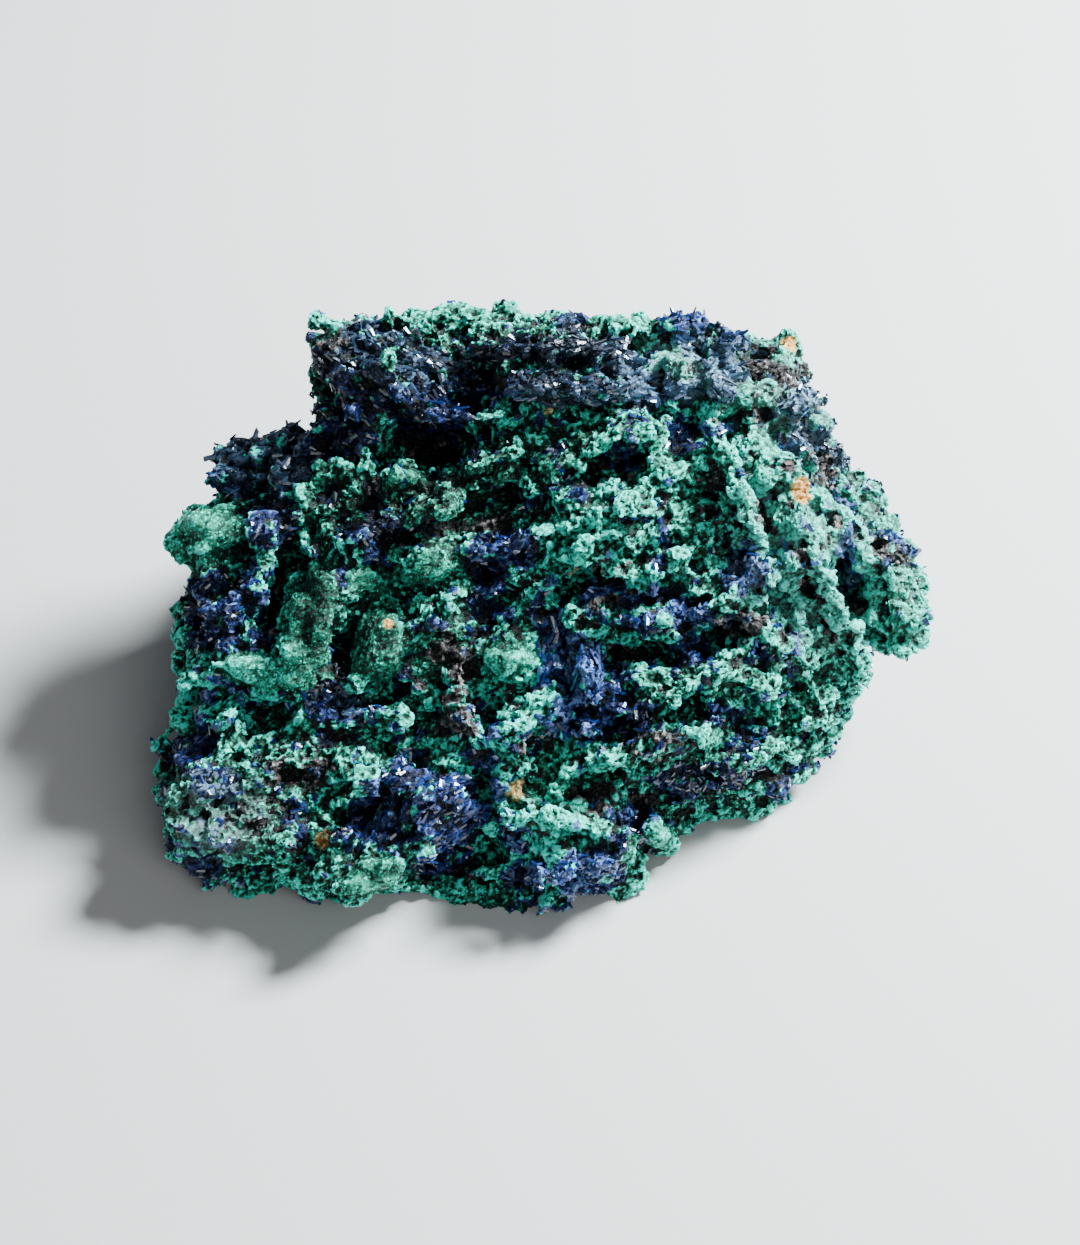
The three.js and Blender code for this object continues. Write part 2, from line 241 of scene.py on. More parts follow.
def move_out(mesh, heights, drift):
    """Moves each vertex along its normal by its height in mm, and by its drift in any direction."""
    places = places_of(mesh) + (places_of(mesh, "normal") * np.array(heights)[:, None] + drift) * MM
    places[:, 1:] = np.maximum(places[:, 1:], (cad_box[0][1] - FRONT_REACH * MM, 0))
    mesh.vertices.foreach_set("co", places.astype(np.float32).ravel())
    mesh.update()


noise.seed_set(7)        # without it noise_vector differs from run to run


def noise_of(places, size, kind=noise.noise):
    """Noise at each place, with features of this size in mm."""
    return np.array([kind(at) for at in (places / (size * MM)).tolist()])


# Large uneven numbers: the fraction of a sine of them is as good as chance.
CHANCE_WAYS = np.array(((12.9898, 39.346, 73.156), (78.233, 11.135, 52.235), (37.719, 83.155, 9.151)))
CHANCE_SCALE = 43758.5453


def clumps(places, size):
    """For each place, the clump it is in: its distance from the middle and from the edge, how far
    it rises on a clump that is tilted its own way, the clump's chance from 0 to 1, and its middle."""
    scaled = places / (size * MM)
    nearest = [noise.voronoi(at) for at in scaled.tolist()]
    middle = np.array([found[0][0] for found in nearest])
    edge = np.array([found[0][1] for found in nearest]) - middle
    centres = np.array([tuple(found[1][0]) for found in nearest])
    chances = np.abs(np.sin(centres @ CHANCE_WAYS) * CHANCE_SCALE) % 1
    tilt = ((scaled - centres) * (chances - 0.5)).sum(1) * 2
    return middle, edge, tilt, chances[:, 0], centres * size * MM


def rising(values, low, high):
    """0 below low, 1 above high, smooth in between."""
    part = np.clip((values - low) / (high - low), 0, 1)
    return part * part * (3 - 2 * part)


def smoothed(mesh, rounds):
    """The places that the mesh's vertices come to when its surface is smoothed this many times."""
    ends = np.empty(len(mesh.edges) * 2, np.int32)
    mesh.edges.foreach_get("vertices", ends)
    one, other = ends.reshape(-1, 2).T
    count = len(mesh.vertices)
    neighbours = np.maximum(np.bincount(one, None, count) + np.bincount(other, None, count), 1)
    places = places_of(mesh)
    smooth = places
    for _ in range(rounds):
        smooth = np.stack([np.bincount(one, smooth[other, axis], count) +
                           np.bincount(other, smooth[one, axis], count) for axis in range(3)], 1)
        smooth /= neighbours[:, None]
    return smooth


def standing_out(mesh, rounds):
    """How far each vertex stands out from the smoothed surface around it, in mm."""
    return ((places_of(mesh) - smoothed(mesh, rounds)) * places_of(mesh, "normal")).sum(1) / MM


def record_values(mesh, **values):
    for name, numbers in values.items():
        per_vertex = mesh.attributes.new(name, "FLOAT", "POINT").data
        per_vertex.foreach_set("value", np.array(numbers, np.float32))


def new_piece(name, mesh, material):
    piece = bpy.data.objects.new(name, mesh)
    bpy.context.collection.objects.link(piece)
    mesh.materials.clear()
    mesh.materials.append(material)
    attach(piece, "root")
    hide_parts("azurite_malachite_specimen")
    return piece


image_width, image_height = 1080, 1245
focal_pixels = camera.data.lens / camera.data.sensor_width * image_height
FACING = -0.15           # the least share of a normal towards the camera on the front
OUTSIDE = -9.0           # a depth well outside every patch


def pixels_of(places):
    """Where points in space fall in the camera's view, in pixels from its top left corner."""
    offsets = places - np.array(camera.location)
    depths = -offsets @ np.array(to_camera)
    return (image_width / 2 + focal_pixels * offsets[:, 0] / depths,
            image_height / 2 - focal_pixels * (offsets @ np.array(image_up)) / depths)


def patch_depth(places, normals, patches):
    """How deep points on the front lie inside patches of the view: 1 in the middle of a patch, 0 on
    its edge and less outside."""
    across, down = pixels_of(places)
    deepest = np.full(len(across), OUTSIDE)
    for middle_x, middle_y, half_long, half_wide, tilt in patches.values():
        turn = math.radians(tilt)
        x = (across - middle_x) * math.cos(turn) + (down - middle_y) * math.sin(turn)
        y = (down - middle_y) * math.cos(turn) - (across - middle_x) * math.sin(turn)
        deepest = np.maximum(deepest, 1 - np.hypot(x / half_long, y / half_wide))
    return np.where(normals @ np.array(to_camera) > FACING, deepest, OUTSIDE)


# Clefts and holes in the front. A patch is an ellipse in the view: its middle and half sizes in
# pixels, and its tilt in degrees.
OPEN = {
    "under the crown": (430, 450, 30, 18, 10),
    "tall cleft": (277, 605, 10, 40, 8),
    "long slot": (488, 520, 60, 12, -6),
    "upper slot": (608, 480, 36, 7, -12),
    "strap gap": (340, 662, 7, 24, 12),
    "cavern": (622, 652, 20, 8, 20),
    "flap cavity": (424, 680, 14, 12, 0),
    "front recess": (455, 884, 36, 14, 0),
    "pit": (481, 756, 9, 8, 0),
    "middle slot": (604, 602, 22, 8, -20),
    "brow gap": (500, 378, 7, 16, 0),
    "step gap": (255, 718, 16, 7, -30),
    "right slot": (640, 800, 16, 8, 0),
    "flank pit 1": (800, 550, 16, 9, 70),
    "flank pit 2": (806, 588, 14, 7, 60),
    "flank pit 3": (880, 545, 12, 10, 0),
    "flank pit 4": (902, 560, 10, 10, 0),
    "flank pit 5": (857, 606, 12, 8, 60),
    "flank pit 6": (789, 466, 10, 8, 0),
    "flank pit 7": (822, 622, 13, 7, 50),
    "flank pit 8": (853, 638, 10, 6, 0),
    "flank pit 9": (733, 413, 18, 9, 0),
    "flank groove": (762, 512, 20, 5, 75),
    "flank pit 10": (835, 520, 12, 8, 60),
}
# Lumps that are worn back to the real outline.
TRIMMED = {
    "right spike": (872, 468, 20, 14, 0),
    "left lump": (150, 747, 28, 32, 0),
    "corner spike": (820, 366, 14, 10, 0),
    "corner": (304, 320, 18, 18, 0),
    "false rib": (845, 590, 60, 12, 62),
    "back peak": (775, 322, 26, 10, 0),
    "lip foot": (358, 912, 44, 16, 0),
}
# Where the malachite is one even face.
SMOOTH = {
    "knob": (205, 534, 42, 32, 0),
    "strap": (310, 625, 27, 66, 8),
    "flap": (378, 646, 30, 46, 22),
    "shelf": (265, 672, 50, 18, 8),
    "ball": (660, 838, 14, 12, 0),
    "lip": (375, 876, 36, 18, -14),
    "nodule": (508, 658, 28, 20, 0),
    "flake": (402, 478, 18, 13, 0),
    "ledge": (428, 570, 34, 18, -10),
    "ledge left": (366, 580, 22, 15, 0),
}
# Where it hangs in broad flat sheets.
SHEETS = {
    "strap": (310, 622, 34, 78, 8),
    "flap": (380, 640, 40, 56, 22),
    "shelf": (260, 675, 64, 30, 8),
    "top": (390, 570, 80, 34, -4),
}
# Where the clumps are drawn out down the slope.
FLANK = {
    "flank": (850, 560, 140, 160, 0),
}

# The skin starts from a merged copy of the solid.
merged = bmesh.new()
merged.from_mesh(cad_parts["azurite_malachite_specimen"].data)
bmesh.ops.remove_doubles(merged, verts=merged.verts, dist=1e-7)
solid = bpy.data.meshes.new("solid")
merged.to_mesh(solid)
merged.free()

# Large crags come first, then clumps between gaps, then grains, each on a finer skin. Sizes and
# heights are in mm. The crags start sunk, because the nodules and clumps add to them.
CRAG_SKIN, CLUMP_SKIN, GRAIN_SKIN = 0.5, 0.32, 0.25
CRAG_SIZE, CLUMP_SIZE, GRAIN_SIZE, CRUMB_SIZE = 4.2, 1.9, 0.62, 0.8
SUNK, CRAG_HEIGHT, HOLE_DEPTH = 0.65, 0.75, 1.5
FACE_RISE, SHEET_RISE, WORN_DEPTH = 0.5, 0.2, 1.2
skin = remeshed(solid, CRAG_SKIN)
places, normals = places_of(skin), places_of(skin, "normal")
resting = rising(places[:, 2], 0, 2 * MM)
holes = rising(patch_depth(places, normals, OPEN), -0.2, 0.6)
even = rising(patch_depth(places, normals, SMOOTH), -0.1, 0.2) * (1 - holes)
crags = noise_of(places, CRAG_SIZE, lambda at: noise.fractal(at, 0.8, 2.1, 3))
flat = rising(patch_depth(places, normals, SHEETS), -0.1, 0.4)
flattened = (smoothed(skin, 60) - places) / MM * 0.8 * flat[:, None]
trimmed = rising(patch_depth(places, normals, TRIMMED), -0.1, 0.5)
heights = (-SUNK + CRAG_HEIGHT * crags * (1 - 0.3 * even) - HOLE_DEPTH * holes +
           FACE_RISE * even + SHEET_RISE * flat - WORN_DEPTH * trimmed)
move_out(skin, heights * resting, flattened)

# Crests where one mineral stands up in plates, rims, ribs and nodules, each by its half width in
# mm and the line that it follows in the view.
PLATES = {
    "upper ribbon": (1.3, (526, 479), (549, 468), (577, 462), (589, 453)),
    "left ribbon": (1.3, (537, 537), (546, 518), (560, 505), (574, 502)),
    "long ribbon": (1.5, (549, 554), (577, 534), (595, 516), (615, 504), (635, 502), (649, 496),
                    (669, 473), (689, 462)),
    "high ribbon": (1.1, (589, 496), (615, 485), (646, 479), (675, 468)),
    "side ribbon": (1.2, (546, 594), (549, 571), (563, 548)),
    "low ribbon": (1.2, (572, 623), (606, 620), (640, 614), (663, 614), (668, 632)),
    "inner ribbon": (1.3, (629, 542), (649, 537), (663, 545), (686, 562)),
    "nodule": (1.5, (690, 533), (700, 530)),
    "brow mass": (1.5, (600, 440), (622, 436), (640, 432)),
    "vein side": (1.3, (652, 440), (655, 462)),
    "middle fan": (1.6, (615, 560), (640, 580)),
    "second fan": (1.5, (700, 590), (720, 560)),
    "lower shelf": (1.2, (626, 672), (654, 684), (682, 684), (704, 672)),
    "ring": (1.0, (688, 706), (705, 697), (715, 704), (705, 714), (690, 712)),
    "low lobe": (1.4, (687, 731), (704, 745), (726, 748)),
    "low rim": (1.0, (732, 765), (760, 754), (788, 745), (816, 751)),
    "bottom rim": (1.1, (704, 813), (726, 815), (760, 808), (782, 799), (798, 783)),
    "right lobes": (1.5, (788, 712), (810, 709), (830, 700), (847, 692)),
    "right row": (1.3, (745, 690), (760, 678), (775, 690)),
    "right slope": (1.4, (770, 640), (800, 660), (820, 680)),
    "shelf rim": (1.4, (491, 717), (516, 720), (536, 709), (553, 695)),
    "arch": (1.2, (437, 740), (448, 754), (456, 768), (470, 782), (487, 793), (501, 793)),
    "arch end": (1.2, (497, 748), (502, 765), (497, 776), (511, 798), (530, 812)),
    "front ridge": (1.2, (539, 804), (553, 790), (572, 776), (598, 765), (614, 754)),
    "front lumps": (1.4, (544, 812), (558, 821), (578, 810)),
    "front rim": (1.2, (488, 908), (502, 906), (530, 902), (561, 896)),
    "mound": (1.4, (336, 780), (345, 759), (362, 751)),
    "left lobe": (1.4, (214, 712), (236, 722), (250, 735)),
    "foot lump": (1.4, (182, 793), (190, 832), (213, 838), (235, 835), (244, 818)),
    "lip edge": (1.2, (280, 849), (284, 871), (308, 877), (336, 860), (378, 860), (420, 854)),
    "lip": (1.4, (333, 880), (347, 885), (364, 883), (386, 874), (403, 860)),
    "step": (1.4, (472, 520), (492, 514), (516, 522)),
    "ledge": (1.5, (400, 555), (430, 560), (455, 575)),
    "ledge lobe": (1.3, (412, 528), (423, 509), (434, 498)),
    "flake": (1.5, (395, 478), (408, 474)),
    "green brow": (1.8, (490, 412), (482, 430), (476, 447)),
    "crown corner": (1.2, (319, 322), (330, 336)),
    "strap edge": (1.2, (296, 560), (284, 600), (281, 640)),
    "flap edge": (1.3, (350, 660), (365, 690), (385, 695)),
}
GREEN_CRESTS = {
    "far row": (1.1, (600, 326), (625, 326), (648, 325)),
    "flank rib": (0.75, (726, 468), (746, 508), (764, 545), (772, 588), (795, 614), (812, 630),
                  (850, 645)),
    "second rib": (0.78, (778, 488), (787, 519), (807, 537), (818, 557), (832, 591), (835, 622)),
    "third rib": (0.9, (858, 537), (864, 565), (873, 594), (878, 623)),
    "end rim": (0.8, (853, 645), (878, 644), (901, 647), (919, 634), (924, 605), (915, 575)),
    "flank sheet": (1.3, (742, 450), (758, 462), (764, 480)),
    "flank top": (1.0, (708, 405), (722, 403)),
    "mint brow": (0.9, (742, 400), (756, 394), (768, 396)),
    "far bump": (0.9, (820, 426), (826, 424)),
    "corner bump": (0.9, (778, 362), (790, 355), (788, 342)),
    "end knob": (1.1, (895, 585), (905, 600)),
    "right lump": (1.1, (860, 672), (855, 688), (842, 704)),
    "front lump": (1.0, (542, 849), (561, 843)),
    "front corner": (0.8, (631, 846), (640, 874), (623, 894)),
    "ball": (1.1, (658, 838), (662, 838)),
    "rod": (0.85, (207, 768), (224, 756), (246, 742)),
    "left nodules": (0.9, (176, 665), (196, 660), (212, 657)),
    "left nodule": (1.0, (188, 698), (190, 699)),
    "foot rim": (0.7, (171, 852), (196, 854), (216, 843)),
    "foot edge": (0.6, (232, 891), (252, 894), (280, 882)),
    "finger": (0.85, (423, 667), (431, 684), (434, 698)),
    "round nodule": (0.75, (487, 644), (504, 636), (526, 644), (535, 661), (529, 672), (504, 672),
                     (490, 661)),
    "drip": (0.75, (374, 449), (366, 465), (358, 476), (352, 490)),
    "thin drop": (0.7, (385, 421), (385, 443)),
    "flake": (1.0, (393, 478), (409, 473)),
    "arm drops": (0.8, (319, 479), (341, 470), (352, 479)),
    "arm nodule": (0.95, (304, 495), (305, 497)),
    "gap nodule": (0.95, (266, 548), (267, 550)),
    "pale nodule": (1.1, (451, 483), (448, 503), (453, 515)),
    "brow drop": (0.75, (513, 443), (516, 456), (502, 479)),
    "crown row": (0.8, (396, 318), (415, 316), (430, 319)),
    "crown spot": (0.8, (390, 353), (392, 355)),
    "crest": (0.8, (481, 328), (508, 312), (528, 316)),
    "far crest": (0.9, (606, 325), (640, 330)),
    "far streak": (0.8, (664, 358), (677, 368), (690, 377)),
    "teal rim": (0.35, (492, 373), (520, 367), (560, 370), (590, 375)),
    "right end": (0.9, (912, 626), (920, 636), (912, 644), (896, 646), (884, 648)),
    "right edge": (0.9, (862, 668), (854, 690), (848, 708), (842, 722), (830, 740)),
    "lower edge": (0.9, (712, 812), (732, 810), (752, 812)),
    "front foot": (0.8, (440, 892), (462, 899), (488, 903), (515, 901), (545, 899)),
    "crown top": (1.0, (405, 321), (425, 322), (446, 323), (466, 321)),
    "crown saddle": (1.2, (425, 324), (445, 326), (462, 324), (445, 336)),
    "knob side": (0.9, (180, 528), (174, 542), (176, 551), (190, 553), (205, 554)),
    "strap side": (1.5, (302, 572), (300, 600), (298, 630), (294, 655)),
    "left edge": (0.8, (178, 640), (178, 610), (186, 700), (178, 722)),
}
BLUE_CRESTS = {
    "far crest": (0.9, (560, 325), (580, 325)),
    "far peak": (0.95, (668, 328), (690, 321), (706, 328), (728, 340), (748, 347)),
    "arm end": (0.9, (222, 450), (214, 468), (212, 482)),
    "sky-blue streak": (1.3, (676, 386), (694, 386), (714, 384), (735, 389)),
    "upper ledge": (0.7, (498, 352), (530, 349), (560, 350), (590, 352), (620, 356)),
    "lower ledge": (0.8, (503, 387), (530, 384), (560, 385), (600, 392), (635, 396)),
    "hump ridge": (1.3, (375, 845), (395, 825), (420, 808), (445, 795), (462, 785)),
    "hump foot": (0.9, (370, 862), (374, 868)),
    "arm ridge": (0.9, (232, 455), (255, 448), (280, 444), (300, 432)),
    "arm prong": (0.7, (214, 476), (226, 470)),
    "long blade": (0.6, (388, 391), (412, 405), (434, 421)),
    "crown blade": (0.55, (363, 358), (382, 380)),
    "upright": (0.55, (577, 640), (583, 665), (590, 685)),
    "second upright": (0.5, (550, 648), (556, 672)),
    "slot blade": (0.5, (528, 500), (548, 478), (566, 462)),
    "vein": (0.5, (640, 430), (636, 450), (629, 470)),
    "rim band": (0.6, (515, 738), (540, 728), (570, 716)),
    "band": (0.6, (655, 600), (680, 612), (700, 610)),
    "low band": (0.7, (675, 785), (700, 780), (735, 772)),
}
surface = BVHTree.FromPolygons(places_of(skin).tolist(), [tuple(face.vertices) for face in skin.polygons])
bead = bmesh.new()
bmesh.ops.create_icosphere(bead, subdivisions=2, radius=1)
bead_places = np.array([vertex.co for vertex in bead.verts])
bead_faces = np.array([[vertex.index for vertex in face.verts] for face in bead.faces])
bead.free()
rng = np.random.default_rng(11)
NEAREST, FARTHEST = 220, 300         # how far from the camera the specimen lies, in mm
STRAY = 3.5                          # how far beads leave their line, in pixels for a mm of half width
LONGEST_LEAD, LEAD_STEP = 3, 0.6     # the rows that lead back to the surface, in mm
PLATE_HALF_THICK = 0.3


def sight_through(across, down):
    """The direction from the camera through a pixel."""
    right = Vector((1, 0, 0)) * ((across - image_width / 2) / focal_pixels)
    return (right - image_up * ((down - image_height / 2) / focal_pixels) - to_camera).normalized()


def beads_along(crests, spacing=7.5):
    """Beads strung along the crests where they run over the surface: their middles, half widths and
    the way the surface faces. Past the outline a row of beads leads back to the nearest surface.
    The spacing is in pixels for a mm of half width."""
    beads = []
    for half_width, *line in crests.values():
        for start, end in zip(line, line[1:]):
            steps = max(1, round(math.dist(start, end) / (spacing * half_width)))
            for step in range(steps + 1):
                across = start[0] + (end[0] - start[0]) * step / steps + rng.normal(0, STRAY * half_width)
                down = start[1] + (end[1] - start[1]) * step / steps + rng.normal(0, STRAY * half_width)
                sight = sight_through(across, down)
                point, normal, _, _ = surface.ray_cast(camera.location, sight)
                size = half_width * rng.uniform(0.6, 1.3)
                if point:
                    beads.append((*(point + normal * 0.1 * size * MM), size, *normal))
                    continue
                passing = [camera.location + sight * depth * MM for depth in range(NEAREST, FARTHEST)]
                gaps = [surface.find_nearest(at)[3] for at in passing]
                if min(gaps) < LONGEST_LEAD * MM:
                    at = passing[gaps.index(min(gaps))]
                    point, normal, _, gap = surface.find_nearest(at)
                    for part in range(round(gap / (LEAD_STEP * MM)) + 1):
                        reached = min(1, part * LEAD_STEP * MM / gap)
                        beads.append((*point.lerp(at, reached), size, *normal))
    return np.array(beads)


green_beads, blue_beads = beads_along(GREEN_CRESTS), beads_along(BLUE_CRESTS)
plates = beads_along(PLATES, 9)
beads = np.concatenate((green_beads, blue_beads, plates))
together = [places_of(skin)]
faces = [tuple(face.vertices) for face in skin.polygons]
for number, (x, y, z, size, *normal) in enumerate(beads):
    faces += (bead_faces + len(together[0]) + number * len(bead_places)).tolist()
    shape = bead_places * size * rng.uniform(0.85, 1.15, 3) * MM
    if number >= len(beads) - len(plates):
        facing = Vector(normal) + 0.6 * image_up + Vector(rng.uniform(-0.4, 0.4, 3))
        turn = np.array(facing.to_track_quat("Z", "Y").to_matrix())
        half_sizes = (size * rng.uniform(0.8, 1.15), size * rng.uniform(0.8, 1.1), PLATE_HALF_THICK)
        shape = bead_places * half_sizes * MM @ turn.T
        x, y, z = np.array((x, y, z)) + np.array(normal) * 0.35 * size * MM
    together.append(shape + (x, y, z))
together = np.concatenate(together)

# The plates are green as well, over this share of their half width.
PLATE_GREEN = 0.62
green_beads = np.concatenate((green_beads, plates * (1, 1, 1, PLATE_GREEN, 1, 1, 1)))

# The knob at the left end is broken flat on three sides, each by the way that it faces and how
# far it lies from the knob's middle in mm. The middle lies this deep under the pixel, and the cuts
# fade out between these two distances from it.
KNOB_PIXEL = (205, 532)
KNOB_DEPTH = 2.6
KNOB_RADIUS, KNOB_REACH = 4.2, 5.2
KNOB_FACES = {
    "front": ((0.35, -0.62, 0.7), 1.5),
    "underside": ((0, -0.6, -0.8), 2.5),
    "end": ((-0.75, 0.3, 0.6), 2.5),
}
point, normal, _, _ = surface.ray_cast(camera.location, sight_through(*KNOB_PIXEL))
knob = np.array(point - normal * KNOB_DEPTH * MM)
near_knob = rising(-np.linalg.norm(together - knob, axis=1), -KNOB_REACH * MM, -KNOB_RADIUS * MM)
for way, reach in KNOB_FACES.values():
    way = np.array(Vector(way).normalized())
    together -= np.outer(np.maximum((together - knob) @ way - reach * MM, 0) * near_knob, way)
skin = bpy.data.meshes.new("beaded")
skin.from_pydata(together.tolist(), [], faces)


def nearness(beads, places):
    """1 on the beads, falling to 0 a little way off them."""
    middles = KDTree(len(beads))
    for index, bead in enumerate(beads):
        middles.insert(bead[:3], index)
    middles.balance()
    found = [middles.find(place) for place in places]
    half_widths_off = np.array([gap / (beads[index][3] * MM) for _, index, gap in found])
    return 1 - rising(half_widths_off, 1.1, 1.6)


def way_in_image(degrees):
    """The direction in the view's plane that rises to the right at this angle."""
    turn = math.radians(degrees)
    return np.array((math.cos(turn), 0, 0)) + math.sin(turn) * np.array(image_up)


def drawn_out(places, way, times):
    """Places squeezed along a direction, so that what is laid out by them is drawn out along it."""
    return places - np.outer(places @ way, way) * (1 - 1 / times)


# The clumps lie in beds that rise to the right across the front and hang down the flank.
CLUMP_BULGE, CLUMP_TILT, CLUMP_STEP, GAP_DEPTH, SUNK_CLUMP = 0.15, 1.2, 0.8, 0.85, 1.0
skin = remeshed(skin, CLUMP_SKIN)
places, normals = places_of(skin), places_of(skin, "normal")
resting = rising(places[:, 2], 0, 1.2 * MM)
holes = rising(patch_depth(places, normals, OPEN), -0.2, 0.5)
even = rising(patch_depth(places, normals, SMOOTH), -0.1, 0.3) * (1 - holes)
flank = rising(patch_depth(places, normals, FLANK), -0.05, 0.05)[:, None]
warp = noise_of(places, 1.6, noise.noise_vector)
across_front = drawn_out(places, way_in_image(25), 1.5)
down_flank = drawn_out(places, way_in_image(-65), 1.9)
bedding = across_front * (1 - flank) + down_flank * flank
crinkle = noise_of(places, 0.6, noise.noise_vector)
middle, edge, tilt, chance, _ = clumps(bedding + (0.75 * warp + 0.28 * crinkle) * MM, CLUMP_SIZE)
gap = 1 - rising(edge, 0.02, 0.2)
sunk = 1 - rising(chance, 0.15, 0.2)
crest = nearness(beads, places)
rough = 1 - np.maximum(0.88 * even, 0.45 * crest)
sunk *= 1 - crest
heights = (CLUMP_BULGE * (0.75 - middle) + CLUMP_TILT * tilt + CLUMP_STEP * (chance - 0.5) -
           GAP_DEPTH * gap - SUNK_CLUMP * sunk)
move_out(skin, heights * resting * rough + 0.2 * even, 0.4 * warp * (resting * rough)[:, None])
clump_places, clump_chance = places_of(skin), chance
across_clump = KDTree(len(places))
for index, place in enumerate(clump_places):
    across_clump.insert(place, index)
across_clump.balance()

GRAIN_TILT, GRAIN_STEP, GRAIN_GAP, JITTER = 0.24, 0.16, 0.1, 0.045
skin = remeshed(skin, GRAIN_SKIN)
skin.vertices.foreach_set("co", smoothed(skin, 1).astype(np.float32).ravel())
skin.update()
places, normals = places_of(skin), places_of(skin, "normal")
even = rising(patch_depth(places, normals, SMOOTH), -0.1, 0.3)
warp = noise_of(places, 0.5, noise.noise_vector)
_, edge, tilt, chance, _ = clumps(places + 0.15 * warp * MM, GRAIN_SIZE)
heights = (GRAIN_TILT * tilt + GRAIN_STEP * (chance - 0.5) -
           GRAIN_GAP * (1 - rising(edge, 0.02, 0.15)))
jitter = rng.uniform(-JITTER, JITTER, (len(places), 3))
move_out(skin, heights * (1 - 0.5 * even), jitter * (1 - 0.5 * even)[:, None])

# Where azurite covers the front.
AZURITE = {
    "crown blades": (402, 378, 76, 44, 22),
    "under the crown": (345, 428, 32, 28, 0),
    "below the blades": (432, 424, 44, 22, 20),
    "slate brow": (402, 338, 46, 18, 5),
    "upper brow ledge": (560, 350, 88, 13, 0),
    "lower brow ledge": (565, 386, 92, 17, 4),
    "brow sparkles": (640, 378, 40, 26, 0),
    "sky-blue slope": (700, 368, 44, 24, 20),
    "left arm": (268, 455, 64, 30, 5),
    "arm tip": (238, 482, 20, 16, 0),
    "arm root": (325, 452, 38, 24, 0),
    "arm lump": (270, 524, 24, 27, 0),
    "thin blades": (372, 490, 10, 24, 0),
    "small blades": (330, 490, 14, 20, 0),
    "granular shelf": (388, 530, 52, 13, -4),
    "shelf spot": (376, 558, 15, 9, 0),
    "middle slope": (502, 552, 42, 26, -35),
    "slot side": (545, 476, 14, 38, 35),
    "column": (224, 602, 38, 26, 0),
    "column foot": (212, 630, 26, 20, 0),
    "column end": (256, 640, 18, 10, 10),
    "strap side": (490, 622, 24, 22, 0),
    "upright crystals": (562, 652, 34, 36, 0),
    "upright foot": (590, 700, 56, 38, 15),
    "spot above": (542, 614, 12, 22, 0),
    "blue band": (650, 610, 62, 22, 10),
    "band end": (692, 640, 15, 28, 20),
    "right nest": (745, 572, 24, 24, 0),
    "pore filling": (660, 545, 11, 24, 0),
    "vein": (626, 446, 13, 32, 15),
    "vein end": (682, 438, 18, 18, 0),
    "pale sparkles": (790, 440, 14, 12, 0),
    "far slope": (835, 445, 28, 20, 30),
    "corner slope": (808, 408, 34, 20, 60),
    "end spot": (850, 556, 12, 26, 0),
    "twin spot one": (765, 655, 11, 15, 0),
    "twin spot two": (796, 655, 12, 18, 0),
    "low pocket": (718, 714, 22, 11, 0),
    "low nest": (745, 744, 12, 18, 0),
    "low band": (702, 780, 42, 16, -10),
    "edge spot": (780, 790, 12, 9, 0),
    "above the ball": (636, 830, 22, 24, 0),
    "rim band": (545, 728, 60, 14, -14),
    "hump": (418, 812, 80, 46, -28),
    "hump top": (425, 770, 30, 20, 0),
    "under the strap": (345, 700, 36, 24, 0),
    "under the flap": (402, 668, 26, 18, 0),
    "shelf patch": (238, 685, 16, 10, 0),
    "left nests": (196, 745, 26, 26, 0),
    "left sparkle": (213, 784, 22, 18, 0),
    "left foot": (190, 862, 32, 17, 20),
    "foot rib": (296, 828, 10, 28, 0),
    "foot spot": (340, 742, 20, 10, 0),
    "front nest": (520, 838, 18, 14, 0),
    "front slope": (528, 876, 26, 16, 0),
    "front corner": (588, 872, 36, 22, 0),
    "front rim": (520, 906, 50, 9, 0),
    "left fringe": (240, 750, 14, 12, 0),
    "recess side": (440, 868, 26, 12, 0),
}
# Where the azurite is a duller slate blue, partly its own colour and partly a painted sheen of sky light
# on its upper faces.
SLATE_AND_SKY_SHEEN = {
    "crown": (400, 350, 90, 40, 10),
    "brow": (590, 365, 110, 50, 4),
    "left arm": (255, 455, 60, 40, 15),
    "right slope": (720, 375, 70, 40, 20),
    "far slope": (835, 450, 40, 40, 30),
    "corner slope": (808, 408, 44, 34, 60),
    "hump side": (350, 700, 20, 20, 0),
}
# Where the brown rock is bare.
BARE = {
    "brown knob": (452, 660, 34, 24, 35),
    "brown slope": (455, 715, 26, 32, 0),
    "granular hollow": (300, 772, 46, 18, 0),
    "top right": (775, 368, 36, 24, 20),
    "top far": (745, 412, 34, 18, 0),
    "grey flank": (820, 470, 22, 20, 30),
    "pore one": (712, 482, 18, 14, 0),
    "pore two": (702, 522, 20, 20, 30),
    "pore three": (612, 570, 20, 14, 0),
    "brown band": (742, 622, 32, 14, 0),
    "end pore": (884, 560, 16, 18, 0),
    "flank pore": (812, 546, 14, 20, 0),
    "grey pocket": (590, 798, 24, 16, 0),
    "rim pore": (535, 745, 26, 12, 0),
    "brow stone": (660, 345, 30, 12, 0),
    "crown corner": (334, 338, 20, 14, 0),
    "foot stone": (250, 815, 18, 18, 0),
    "low stone": (655, 745, 34, 16, 0),
}
# Rusty spots, each by its pixel, its radius in mm and its strength.
OCHRE = {
    "flank": (806, 492, 1.25, 1.0),
    "corner": (790, 344, 0.9, 1.0),
    "rim": (517, 790, 1.2, 0.55),
    "foot": (322, 838, 1.0, 0.5),
    "fleck": (388, 622, 0.5, 0.7),
    "brow": (549, 412, 0.5, 0.5),
    "middle": (574, 572, 0.8, 0.45),
}
